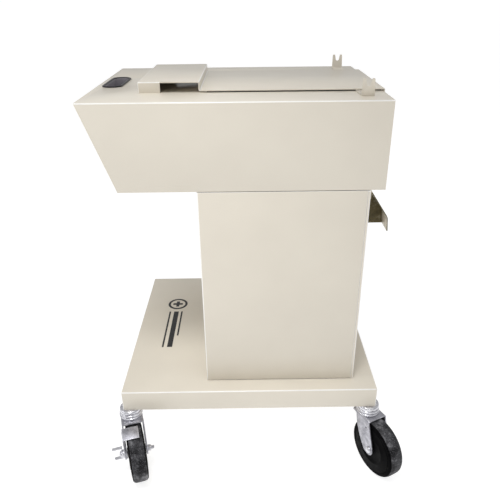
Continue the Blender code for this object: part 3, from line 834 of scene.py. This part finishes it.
def make_cord_hook(side):
    """Folded hook: back flange, slanting arm and turned-down end; its side faces and one side wall are in
    dark paint, a painted shade.
    """
    node = "cord_hook_" + side
    low, high = low_high(node)
    a, b = low.y, high.y
    knee = (high.x - KNEE_INSET, low.z + KNEE_HEIGHT)
    profile = [
        (low.x, high.z),
        (low.x + SHEET, high.z),
        knee,
        (high.x, low.z),
        (high.x - SHEET, low.z),
        (knee[0] - SHEET, knee[1]),
        (low.x + SHEET, high.z - 0.0040),
        (low.x + SHEET, low.z),
        (low.x, low.z),
    ]
    radii = [0.0006, 0.0006, 0.0040, 0.0004, 0.0004, 0.0020, 0.0006, 0.0004, 0.0004]
    hook = slab(node + "_sheet", filleted(profile, radii), a, b, "Y")
    inner = b if side == "near" else a
    outward = -1.0 if side == "near" else 1.0

    # The back flange is narrow below its top, so that the column's edge shows beside the wall
    trim = sorted((inner + outward * FLANGE_LEFT, inner + outward * 0.100))
    strip = [
        (low.x - 0.001, low.z - 0.001),
        (low.x + SHEET + 0.0006, low.z - 0.001),
        (low.x + SHEET + 0.0006, high.z - FLANGE_TOP),
        (low.x - 0.001, high.z - FLANGE_TOP),
    ]
    cut(hook, slab(node + "_trim", strip, trim[0], trim[1], "Y"))
    # The hook's side faces take the dark paint: painted shade
    for face in hook.data.polygons:
        if abs(face.normal.y) > 0.9:
            face.material_index = EDGE
    edge_break(hook, 0.0004, 2)
    settle(hook)
    place(hook, [PAINT[FACE], PAINTED_SHADE], stands_for=[node])

    # Side wall inside the hook, all in the dark paint: painted shade
    span = sorted((inner, inner + outward * WALL_SHEET))
    wall = [
        (low.x + 0.0004, high.z - WALL_TOP_GAP),
        (low.x + SHEET, high.z - WALL_TOP_GAP),
        (knee[0] - SHEET, knee[1]),
        (high.x - SHEET, low.z + 0.0004),
        (low.x + WALL_SLANT[0], low.z + 0.0004),
        (low.x + 0.0004, low.z + WALL_SLANT[1]),
    ]
    rib = slab(node + "_wall", wall, span[0], span[1], "Y")
    edge_break(rib, 0.0003, 2)
    settle(rib)
    place(rib, PAINTED_SHADE, slot=node)


def make_emblem():
    """Generic mark printed on the base: a ring with a plus, and three plain bars."""
    low, high = low_high("base_pan")
    top = high.z + EMBLEM_LIFT
    x0, y0 = low.x + EMBLEM_AT[0], low.y + EMBLEM_AT[1]
    bm = bmesh.new()

    def flat(points):
        bm.faces.new([bm.verts.new((x, y, top)) for x, y in points])

    def bar(x_low, x_high, y_low, y_high):
        flat([(x_low, y_low), (x_high, y_low), (x_high, y_high), (x_low, y_high)])

    steps = 48
    for i in range(steps):
        a, b = 2 * math.pi * i / steps, 2 * math.pi * (i + 1) / steps
        quad = [(RING_INSIDE, a), (RING_OUTSIDE, a), (RING_OUTSIDE, b), (RING_INSIDE, b)]
        flat([(x0 + r * math.cos(t), y0 + r * math.sin(t)) for r, t in quad])
    bar(x0 - PLUS_ARM, x0 + PLUS_ARM, y0 - PLUS_HALF, y0 + PLUS_HALF)
    bar(x0 - PLUS_HALF, x0 + PLUS_HALF, y0 + PLUS_HALF, y0 + PLUS_ARM)
    bar(x0 - PLUS_HALF, x0 + PLUS_HALF, y0 - PLUS_ARM, y0 - PLUS_HALF)
    for left, thick, length in BARS:
        bar(x0 + left, x0 + left + thick, y0 - BARS_START - length, y0 - BARS_START)
    bmesh.ops.remove_doubles(bm, verts=bm.verts, dist=1e-6)
    bmesh.ops.recalc_face_normals(bm, faces=bm.faces)
    for face in bm.faces:
        if face.normal.z < 0:
            face.normal_flip()
    emblem = mesh_object("printed_emblem", bm)
    mod = emblem.modifiers.new("film", "SOLIDIFY")
    mod.thickness = EMBLEM_FILM
    mod.offset = -1.0
    settle(emblem)
    place(emblem, INK, slot="base_pan")


# ---------------------------------------------------------------- casters
def u_section(half, top, gauge, radius, reach, steps=6):
    """(y, z) outline of a sheet bent into an upside-down U."""
    outer, inner = [(-half, -reach)], [(-half + gauge, -reach)]
    for side in (-1, 1):
        for i in range(steps + 1):
            t = math.radians(90.0 * i / steps)
            if side < 0:
                y, z = -math.cos(t), math.sin(t)
            else:
                y, z = math.sin(t), math.cos(t)
            centre = (side * (half - radius), top - radius)
            outer.append((centre[0] + radius * y, centre[1] + radius * z))
            inner.append((centre[0] + (radius - gauge) * y, centre[1] + (radius - gauge) * z))
    outer.append((half, -reach))
    inner.append((half - gauge, -reach))
    return outer + inner[::-1]


def axle_height(name):
    """Height of a caster's axle over the floor."""
    return JOINTS["roll_" + name]["pos_m"][2]


def leg_outline(name):
    """(x, z) outline of a fork seen from its side: a wide crown on a leg that trails back."""
    z = axle_height(name)
    points = [
        (-0.0200, CROWN_TOP + 0.010),
        (0.0315, CROWN_TOP + 0.010),
        (0.0320, CROWN_TOP - 0.0030),
        (0.0350, CROWN_TOP - 0.0140),
        (0.0430, 0.0950),
        (TRAIL + 0.0105, z + 0.0010),
        (TRAIL + 0.0080, z - 0.0110),
        (TRAIL - 0.0040, z - 0.0145),
        (TRAIL - 0.0150, z - 0.0115),
        (0.0100, 0.0745),
        (-0.0040, 0.1040),
        (-0.0085, CROWN_TOP - 0.0050),
        (-0.0200, CROWN_TOP - 0.0040),
    ]
    radii = [0.0, 0.0, 0.004, 0.012, 0.020, 0.008, 0.008, 0.007, 0.008, 0.012, 0.012, 0.003, 0.001]
    return filleted(points, radii, 6)


def in_caster(obj, name):
    """Move a piece from the caster's own frame to where its swivel and trail are."""
    swivel = Vector(JOINTS["swivel_" + name]["pos_m"])
    roll = Vector(JOINTS["roll_" + name]["pos_m"])
    heading = math.atan2(roll.y - swivel.y, roll.x - swivel.x)
    turn = Matrix.Rotation(heading, 4, "Z")
    obj.data.transform(Matrix.Translation((swivel.x, swivel.y, 0)) @ turn)
    return obj


def on_axle(obj, name):
    """Move a piece made about the origin to the caster's axle."""
    obj.data.transform(Matrix.Translation((TRAIL, 0, axle_height(name))))
    return obj


def rod(radius, low, high):
    """Profile of a plain rod between two heights."""
    return [(0, low), (radius, low), (radius, high), (0, high)]


def mirrored(half_profile):
    """(radius, height) points and their mirror images, as one closed section."""
    return list(half_profile) + [(r, -h) for r, h in reversed(half_profile)]


def make_fork(name):
    """Pressed fork: a sheet bent to a U, cut to its side outline and bored for king and axle."""
    node = "yoke_" + name
    section = u_section(FORK_HALF, CROWN_TOP, FORK_SHEET, CROWN_RADIUS, 0.05)
    fork = slab(node + "_sheet", section, -0.05, 0.09, "X")
    cut(fork, slab(node + "_side", leg_outline(name), -0.05, 0.05, "Y"), "INTERSECT")
    king = spun(node + "_king", rod(KING_RADIUS + GAP, -0.02, 0.02), 48)
    king.data.transform(Matrix.Translation((0, 0, CROWN_TOP)))
    cut(fork, king)
    cut(fork, on_axle(spun(node + "_bore", rod(AXLE_RADIUS + GAP, -0.05, 0.05), 32, "Y"), name))
    guard = spun(node + "_hole", rod(GUARD_HOLE_RADIUS, -0.05, 0.05), 20, "Y")
    guard.data.transform(Matrix.Translation((GUARD_HOLE_AT[0], 0, GUARD_HOLE_AT[1])))
    cut(fork, guard)
    # Bevel faces take the lighter zinc: a painted highlight along the fork's edges
    edge_break(fork, 0.0007, 2, material=EDGE)
    settle(fork, 40.0)
    in_caster(fork, name)
    place(fork, FORK_ZINC, "caster_" + name, [node])


def make_race(name):
    """Ball race: a lower and an upper rolled ring with a dark gap, and the stem's cup over them."""
    low, high = CROWN_TOP + GAP, RACE_TOP
    bore = KING_RADIUS + GAP
    profile = [(bore, low), (RACE_RADIUS - 0.0008, low), (RACE_RADIUS, low + 0.0010)]
    profile += [(RACE_RADIUS, low + 0.0026), (RACE_RADIUS - 0.0010, low + 0.0038)]
    profile += [(RACE_RADIUS - 0.0045, low + 0.0042), (RACE_RADIUS - 0.0045, low + 0.0056)]
    profile += [(RACE_RADIUS - 0.0022, low + 0.0058), (RACE_RADIUS - 0.0010, low + 0.0068)]
    profile += [(RACE_RADIUS - 0.0010, high - 0.0016), (RACE_RADIUS - 0.0022, high - 0.0004)]
    profile += [(RACE_RADIUS - 0.0040, high), (bore, high)]
    race = settle(spun("raceway_%s_rings" % name, profile, 72, closed=True), 50.0)
    in_caster(race, name)
    place(race, BRIGHT_ZINC, "caster_" + name, ["raceway_" + name])

    low, high = low_high("stem_" + name)
    seat = low_high("base_pan")[0].z - 0.0005
    cup = RACE_TOP + GAP
    under = CROWN_TOP - FORK_SHEET - GAP
    profile = [(0.0, high.z), (STEM_RADIUS - 0.0010, high.z), (STEM_RADIUS, high.z - 0.0010)]
    profile += [(STEM_RADIUS, seat), (RACE_RADIUS - 0.0045, seat), (RACE_RADIUS - 0.0028, seat - 0.0012)]
    profile += [(RACE_RADIUS - 0.0024, seat - 0.0040), (RACE_RADIUS - 0.0020, cup + 0.0022)]
    profile += [(RACE_RADIUS - 0.0026, cup + 0.0006), (RACE_RADIUS - 0.0040, cup), (KING_RADIUS, cup)]
    profile += [(KING_RADIUS, under), (0.0100, under), (0.0106, under - 0.0012), (0.0096, under - 0.0036)]
    profile += [(0.0060, under - 0.0047), (0.0, low.z)]
    stem = settle(spun("stem_%s_cup" % name, profile, 64), 50.0)
    in_caster(stem, name)
    place(stem, BRIGHT_ZINC, "cart", ["stem_" + name])
    nut = NODES["stem_nut_" + name]
    edge_break(nut, 0.0005, 2)
    dress(nut, BRIGHT_ZINC[FACE])


def make_wheel(name):
    """Tyre with a rounded tread and a ridge on its side wall, round a hub with a thread guard."""
    half = TYRE_WIDTH / 2
    inner = RIM_RADIUS + GAP
    rim = [(inner, half - 0.0012), (inner + 0.0006, half - 0.0004)]
    rim += [(0.0490, half), (0.0500, half), (0.0508, half - 0.0006), (0.0522, half - 0.0007)]
    rim += [(0.0530, half - 0.0001), (0.0562, half - 0.0001), (0.0590, half - 0.0009)]
    rim += [(0.0610, half - 0.0024), (0.0623, half - 0.0044), (0.0630, half - 0.0070)]
    rim += [(0.0632, half - 0.0105), (axle_height(name), 0.0030)]
    tyre = spun("tyre_%s_tread" % name, mirrored(rim), 96, "Y", closed=True)
    # Faces on the tread take the lighter tread rubber: dust and a painted highlight
    for face in tyre.data.polygons:
        reach = math.hypot(face.center.x, face.center.z)
        if reach > TREAD_RADIUS:
            face.material_index = EDGE
    settle(tyre, 50.0)
    in_caster(on_axle(tyre, name), name)
    place(tyre, RUBBER, "wheel_" + name, ["tyre_" + name])

    bore = AXLE_RADIUS + GAP
    guard = FORK_HALF - FORK_SHEET - 0.0008
    hub = [(bore, guard), (0.0100, guard), (0.0108, guard - 0.0006), (0.0112, guard - 0.0014)]
    hub += [(0.0300, guard - 0.0018), (0.0310, guard - 0.0011), (0.0345, guard - 0.0011)]
    hub += [(0.0355, guard - 0.0018), (0.0500, guard - 0.0020), (0.0514, guard - 0.0024)]
    hub += [(0.0518, half + 0.0004), (RIM_RADIUS, half + 0.0003), (RIM_RADIUS, half - 0.0030)]
    centre = settle(spun("hub_%s_moulding" % name, mirrored(hub), 72, "Y", closed=True), 40.0)
    in_caster(on_axle(centre, name), name)
    place(centre, HUB, "wheel_" + name, ["hub_" + name])


def make_axle(name, braked):
    """Axle bolt with a domed head on one side, and a flanged lock nut on the other."""
    outside = FORK_HALF + GAP
    head = outside + (BRAKE_STACK if braked else 0.0)
    end = -outside - STUD_LENGTH
    profile = [(0.0, head + 0.0050), (0.0030, head + 0.0048), (0.0052, head + 0.0040)]
    profile += [(0.0066, head + 0.0024), (0.0072, head + 0.0010), (0.0072, head)]
    profile += [(AXLE_RADIUS, head), (AXLE_RADIUS, -outside)]
    for i in range(THREAD_TURNS):
        z = -outside - 0.0020 - THREAD_PITCH * i
        profile += [(AXLE_RADIUS, z), (AXLE_RADIUS - THREAD_DEPTH, z - THREAD_PITCH / 2)]
    profile += [(AXLE_RADIUS, end + 0.0012), (AXLE_RADIUS - 0.0010, end), (0.0, end)]
    bolt = settle(spun("axle_%s_bolt" % name, profile, 40, "Y"), 40.0)
    in_caster(on_axle(bolt, name), name)
    place(bolt, BRIGHT_ZINC, "caster_" + name, ["axle_bolt_" + name])

    bore = AXLE_RADIUS + GAP
    hexagon = [(bore, 0.0), (0.0072, 0.0), (0.0072, 0.0056), (bore, 0.0056)]
    nut = spun("axle_%s_nut" % name, hexagon, 6, "Y", True)
    dome = [(0.0, -0.001), (0.0074, -0.001), (0.0074, 0.0044), (0.0064, 0.0056), (0.0, 0.0056)]
    cut(nut, spun("nut_dome", dome, 48, "Y"), "INTERSECT")
    crown = [(bore, 0.0050), (0.0060, 0.0050), (0.0060, 0.0068), (0.0052, 0.0075), (bore, 0.0075)]
    cut(nut, spun("nut_crown", crown, 48, "Y", True), "UNION")
    nut.data.transform(Matrix.Rotation(math.pi, 4, "Z"))
    nut.data.transform(Matrix.Translation((0, outside, 0)))
    edge_break(nut, 0.0002, 1)
    settle(nut, 30.0)
    in_caster(on_axle(nut, name), name)
    place(nut, BRIGHT_ZINC, "caster_" + name, ["axle_nut_" + name])


def beside_tyre(name, along, radius):
    """(x, z) of a point at a distance from the axle, and along the shoe's tangent."""
    sin_a, cos_a = math.sin(BRAKE_ANGLE), math.cos(BRAKE_ANGLE)
    x = TRAIL + radius * sin_a + along * cos_a
    z = axle_height(name) + radius * cos_a - along * sin_a
    return (x, z)


def both_sides(name, outline):
    """Outline of a piece that is the same on both sides of the shoe's own centre line."""
    right = [beside_tyre(name, a, r) for a, r in outline]
    return right + [beside_tyre(name, -a, r) for a, r in reversed(outline)]


def make_brake(name):
    """Side brake: a shoe over the tread on a slotted arm, and the foot rocker that works it."""
    arm_inner = -FORK_HALF - GAP
    arm_outer = arm_inner - ARM_SHEET
    node = "brake_shoe_" + name
    arm = [(0.0100, SHOE_LOW + 0.0011), (0.0100, 0.0580), (0.0085, 0.0200), (0.0085, -0.0080)]
    arm += [(0.0050, -0.0130), (0.0050, -0.0195), (0.0030, -0.0220)]
    radii = [0.0, 0.003, 0.004, 0.004, 0.002, 0.001, 0.002]
    outline = filleted(both_sides(name, arm), radii + radii[::-1], 4)
    shoe = slab(node + "_arm", outline, arm_outer, arm_inner, "Y")
    corners = [(0.0110, SHOE_HIGH), (0.0110, SHOE_LOW), (-0.0160, SHOE_LOW), (-0.0160, SHOE_HIGH)]
    plate = [beside_tyre(name, a, r) for a, r in corners]
    cut(shoe, slab(node + "_plate", plate, arm_outer + 0.0010, SHOE_INSIDE, "Y"), "UNION")
    slot = [(0.0020, 0.0086), (0.0044, 0.0066), (0.0044, -0.0020), (0.0020, -0.0044)]
    cut(shoe, slab(node + "_slot", filleted(both_sides(name, slot), 0.001), -0.05, -FORK_HALF, "Y"))
    x, z = beside_tyre(name, 0.0, EYE_LEVEL)
    eye = spun(node + "_eye", rod(EYE_RADIUS, 0, 0.05), 24, "Y")
    eye.data.transform(Matrix.Translation((x, 0, z)))
    cut(shoe, eye)
    # Bevel faces take the lighter zinc: a painted highlight along the shoe's edges
    edge_break(shoe, 0.0006, 2, material=EDGE)
    settle(shoe, 40.0)
    in_caster(shoe, name)
    place(shoe, FORK_ZINC, "brake_shoe_" + name, [node])

    node = "brake_rocker_" + name
    inner = arm_outer - GAP - CAM_WIDTH
    outer = inner - ROCKER_SHEET
    outline = [(-0.0068, -0.0098), (0.0068, -0.0098), (0.0068, 0.0190), (-0.0068, 0.0190)]
    rocker = slab(node + "_plate", filleted(outline, [0.002, 0.002, 0.004, 0.004]), outer, inner, "Y")
    cam = spun(node + "_cam", rod(CAM_RADIUS, -0.0006, CAM_WIDTH), 48, "Y")
    cam.data.transform(Matrix.Translation((0, inner + CAM_WIDTH, 0)))
    cut(rocker, cam, "UNION")
    for level, reach in TABS:
        root, tip = inner - 0.0004, inner - reach
        tab = [(-TAB_HALF, root), (-TAB_HALF, tip), (TAB_HALF, tip), (TAB_HALF, root)]
        tab = filleted(tab, [0, TAB_CORNER, TAB_CORNER, 0], 5)
        cut(rocker, slab(node + "_tab", tab, level, level + TAB_SHEET), "UNION")
    cut(rocker, spun(node + "_bore", rod(AXLE_RADIUS + GAP + 0.0001, -0.02, 0.06), 32, "Y"))
    # Bevel faces take the lighter zinc: a painted highlight along the rocker's edges
    edge_break(rocker, 0.0005, 2, material=EDGE)
    settle(rocker, 40.0)
    in_caster(on_axle(rocker, name), name)
    place(rocker, BRIGHT_ZINC, "brake_rocker_" + name, [node])


make_base()
make_column()
make_console()
make_grip()
make_plate()
for side in ("near", "far"):
    make_fork_bracket(side)
    make_cord_hook(side)
make_emblem()
for caster in CASTERS:
    make_fork(caster)
    make_race(caster)
    make_wheel(caster)
    make_axle(caster, "brake_" + caster in JOINTS)
    if "brake_" + caster in JOINTS:
        make_brake(caster)


# ---------------------------------------------------------------- studio
def aimed(obj, location, target):
    """Put an object at a place, facing a target along its own -Z, and add it to the scene."""
    obj.location = location
    aim = Vector(target) - Vector(obj.location)
    obj.rotation_euler = aim.to_track_quat("-Z", "Y").to_euler()
    bpy.context.scene.collection.objects.link(obj)


def area(name, location, target, size, power):
    """Soft rectangular light."""
    light = bpy.data.lights.new(name, "AREA")
    light.shape = "RECTANGLE"
    light.size = size[0]
    light.size_y = size[1]
    light.energy = power
    aimed(bpy.data.objects.new(name, light), location, target)


def make_studio():
    """Pale floor, even white world, two soft boxes, and a soft spot that lifts the base's top."""
    bm = bmesh.new()
    bmesh.ops.create_grid(bm, x_segments=1, y_segments=1, size=FLOOR_SIZE)
    floor = mesh_object("studio_floor", bm)
    s = Shader("studio_floor_white")
    tone = s.ramp(s.noise(2.0, 2.0), ((0.3, 0.50), (0.7, 0.52)))
    s.link(tone, s.bsdf.inputs["Base Color"])
    s.set(Roughness=0.9, Emission_Color=(1.0, 1.0, 1.0, 1.0), Emission_Strength=FLOOR_GLOW)
    dress(floor, s.mat)

    world = bpy.data.worlds.new("studio_world")
    bpy.context.scene.world = world
    world.use_nodes = True
    background = world.node_tree.nodes["Background"]
    background.inputs["Color"].default_value = (1.0, 1.0, 1.0, 1.0)
    background.inputs["Strength"].default_value = WORLD_STRENGTH

    area("top_soft_box", (0.3, -0.4, 3.2), (0.0, 0.0, 0.4), (2.4, 2.4), 14.0)
    area("left_soft_box", (-2.6, -0.6, 2.4), (0.0, 0.0, 0.6), (0.7, 0.7), 14.0)

    lamp = bpy.data.lights.new("base_fill", "SPOT")
    lamp.energy = 80.0
    lamp.shadow_soft_size = 0.30
    lamp.spot_size = math.radians(32.0)
    lamp.spot_blend = 1.0
    fill = bpy.data.objects.new("base_fill", lamp)
    aimed(fill, (-0.30, -0.85, 2.20), (-0.05, -0.14, 0.20))


def make_camera():
    """Camera fitted to the photo: its axes, place and focal length."""
    right = Vector((0.99989159, -0.01207486, -0.00842634))
    up = Vector((0.01294207, 0.44780741, 0.89403637))
    ahead = Vector((0.00702198, 0.8940485, -0.44791514))
    camera = bpy.data.cameras.new("camera")
    camera.sensor_width = SENSOR
    camera.lens = LENS
    camera.clip_end = 50.0
    obj = bpy.data.objects.new("camera", camera)
    turn = Matrix((right, up, -ahead)).transposed().to_4x4()
    obj.matrix_world = Matrix.Translation(CAMERA_AT) @ turn
    bpy.context.scene.collection.objects.link(obj)
    bpy.context.scene.camera = obj


make_studio()
make_camera()
view = bpy.context.scene.view_settings
view.view_transform = "Standard"
